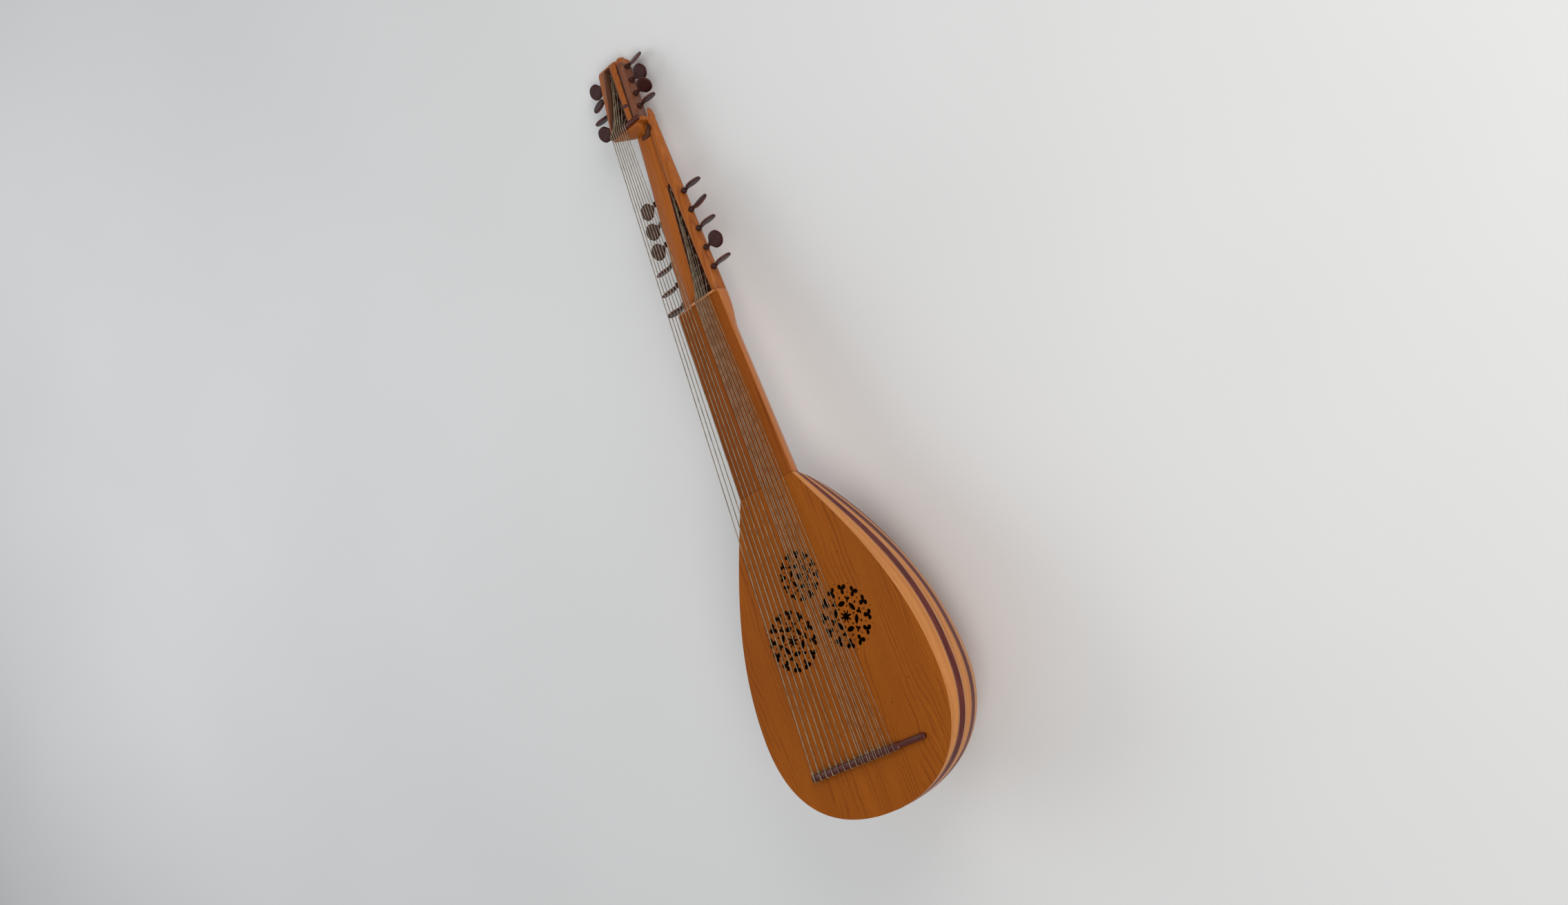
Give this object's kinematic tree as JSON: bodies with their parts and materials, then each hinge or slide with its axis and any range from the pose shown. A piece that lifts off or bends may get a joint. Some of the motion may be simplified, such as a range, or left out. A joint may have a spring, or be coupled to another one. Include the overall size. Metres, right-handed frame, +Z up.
{
  "type": "archlute",
  "caption": "Archlute with a ribbed bowl, three pierced roses, a fretless neck, and two pegboxes with turning tuning pegs for stopped and long open bass strings.",
  "frame": {"origin": "middle of the footprint, on the table that the bowl and the head rest on", "axes": "+Y from the tail to the head, +X to the treble side, +Z up, with the soundboard facing up"},
  "size_m": [0.3238, 1.1188, 0.1924],
  "materials": {
    "soundboard": "satin varnished spruce with figure along the strings",
    "rib": "gloss varnish on pale orange wood",
    "strip": "gloss varnish on dark red-brown wood with pale edges",
    "inner_wood": "bare, planed",
    "neck": "satin varnish",
    "fingerboard": "satin varnish, level with the soundboard",
    "cheek": "satin varnish on orange wood",
    "nut": "polished orange wood with a pale edge",
    "dark_wood": "oiled, dark red",
    "peg": "polished, near black",
    "string": "gut-like, matt"
  },
  "bodies": {
    "instrument": {"rib_01": "rib", "rib_02": "rib", "rib_03": "rib", "rib_04": "rib", "rib_05": "rib", "rib_06": "rib", "rib_07": "rib", "rib_08": "rib", "rib_09": "rib", "rib_10": "rib", "rib_11": "rib", "rib_12": "rib", "rib_13": "rib", "rib_strips": "strip", "soundboard": "soundboard", "end_block": "inner_wood", "neck_block": "inner_wood", "neck": "neck", "fingerboard": "fingerboard", "nut": "nut", "pegbox_bass_cheek": "cheek", "pegbox_treble_cheek": "cheek", "pegbox_back": "cheek", "head_block": "cheek", "upper_pegbox": "cheek", "diapason_nut": "dark_wood", "bridge": "dark_wood", "course_01": "string", "course_02": "string", "course_03": "string", "course_04": "string", "course_05": "string", "course_06": "string", "course_07": "string", "course_08": "string", "course_09": "string", "course_10": "string", "course_11": "string", "course_12": "string", "course_13": "string", "course_14": "string"},
    "peg_01": {"peg_01": "peg"},
    "peg_02": {"peg_02": "peg"},
    "peg_03": {"peg_03": "peg"},
    "peg_04": {"peg_04": "peg"},
    "peg_05": {"peg_05": "peg"},
    "peg_06": {"peg_06": "peg"},
    "peg_07": {"peg_07": "peg"},
    "peg_08": {"peg_08": "peg"},
    "peg_09": {"peg_09": "peg"},
    "peg_10": {"peg_10": "peg"},
    "peg_11": {"peg_11": "peg"},
    "peg_12": {"peg_12": "peg"},
    "peg_13": {"peg_13": "peg"},
    "peg_14": {"peg_14": "peg"},
    "peg_15": {"peg_15": "peg"},
    "peg_16": {"peg_16": "peg"},
    "peg_17": {"peg_17": "peg"},
    "peg_18": {"peg_18": "peg"},
    "peg_19": {"peg_19": "peg"}
  },
  "joints": [
    {"name": "peg_01_turn", "type": "hinge", "parent": "instrument", "child": "peg_01", "pos_m": [0, 0.18767, 0.08007], "axis": [-0.9952, -0.096, 0.0175], "continuous": true},
    {"name": "peg_02_turn", "type": "hinge", "parent": "instrument", "child": "peg_02", "pos_m": [0, 0.20284, 0.07731], "axis": [0.9952, 0.096, -0.0175], "continuous": true},
    {"name": "peg_03_turn", "type": "hinge", "parent": "instrument", "child": "peg_03", "pos_m": [0, 0.21802, 0.07454], "axis": [-0.9952, -0.096, 0.0175], "continuous": true},
    {"name": "peg_04_turn", "type": "hinge", "parent": "instrument", "child": "peg_04", "pos_m": [0, 0.23319, 0.07178], "axis": [0.9952, 0.096, -0.0175], "continuous": true},
    {"name": "peg_05_turn", "type": "hinge", "parent": "instrument", "child": "peg_05", "pos_m": [0, 0.24837, 0.06901], "axis": [-0.9952, -0.096, 0.0175], "continuous": true},
    {"name": "peg_06_turn", "type": "hinge", "parent": "instrument", "child": "peg_06", "pos_m": [0, 0.26354, 0.06624], "axis": [0.9952, 0.096, -0.0175], "continuous": true},
    {"name": "peg_07_turn", "type": "hinge", "parent": "instrument", "child": "peg_07", "pos_m": [0, 0.27871, 0.06348], "axis": [-0.9952, -0.096, 0.0175], "continuous": true},
    {"name": "peg_08_turn", "type": "hinge", "parent": "instrument", "child": "peg_08", "pos_m": [0, 0.29389, 0.06071], "axis": [0.9952, 0.096, -0.0175], "continuous": true},
    {"name": "peg_09_turn", "type": "hinge", "parent": "instrument", "child": "peg_09", "pos_m": [0, 0.30906, 0.05795], "axis": [-0.9952, -0.096, 0.0175], "continuous": true},
    {"name": "peg_10_turn", "type": "hinge", "parent": "instrument", "child": "peg_10", "pos_m": [0, 0.32423, 0.05518], "axis": [0.9952, 0.096, -0.0175], "continuous": true},
    {"name": "peg_11_turn", "type": "hinge", "parent": "instrument", "child": "peg_11", "pos_m": [0, 0.33941, 0.05241], "axis": [-0.9952, -0.096, 0.0175], "continuous": true},
    {"name": "peg_12_turn", "type": "hinge", "parent": "instrument", "child": "peg_12", "pos_m": [0, 0.46951, 0.04342], "axis": [0.9952, 0.0913, -0.0344], "continuous": true},
    {"name": "peg_13_turn", "type": "hinge", "parent": "instrument", "child": "peg_13", "pos_m": [0, 0.47719, 0.04053], "axis": [-0.9952, -0.0913, 0.0344], "continuous": true},
    {"name": "peg_14_turn", "type": "hinge", "parent": "instrument", "child": "peg_14", "pos_m": [0, 0.49197, 0.03496], "axis": [0.9952, 0.0913, -0.0344], "continuous": true},
    {"name": "peg_15_turn", "type": "hinge", "parent": "instrument", "child": "peg_15", "pos_m": [0, 0.49946, 0.03214], "axis": [-0.9952, -0.0913, 0.0344], "continuous": true},
    {"name": "peg_16_turn", "type": "hinge", "parent": "instrument", "child": "peg_16", "pos_m": [0, 0.51584, 0.02597], "axis": [0.9952, 0.0913, -0.0344], "continuous": true},
    {"name": "peg_17_turn", "type": "hinge", "parent": "instrument", "child": "peg_17", "pos_m": [0, 0.52473, 0.02263], "axis": [-0.9952, -0.0913, 0.0344], "continuous": true},
    {"name": "peg_18_turn", "type": "hinge", "parent": "instrument", "child": "peg_18", "pos_m": [0, 0.54064, 0.01664], "axis": [0.9952, 0.0913, -0.0344], "continuous": true},
    {"name": "peg_19_turn", "type": "hinge", "parent": "instrument", "child": "peg_19", "pos_m": [0, 0.54831, 0.01375], "axis": [-0.9952, -0.0913, 0.0344], "continuous": true}
  ]
}
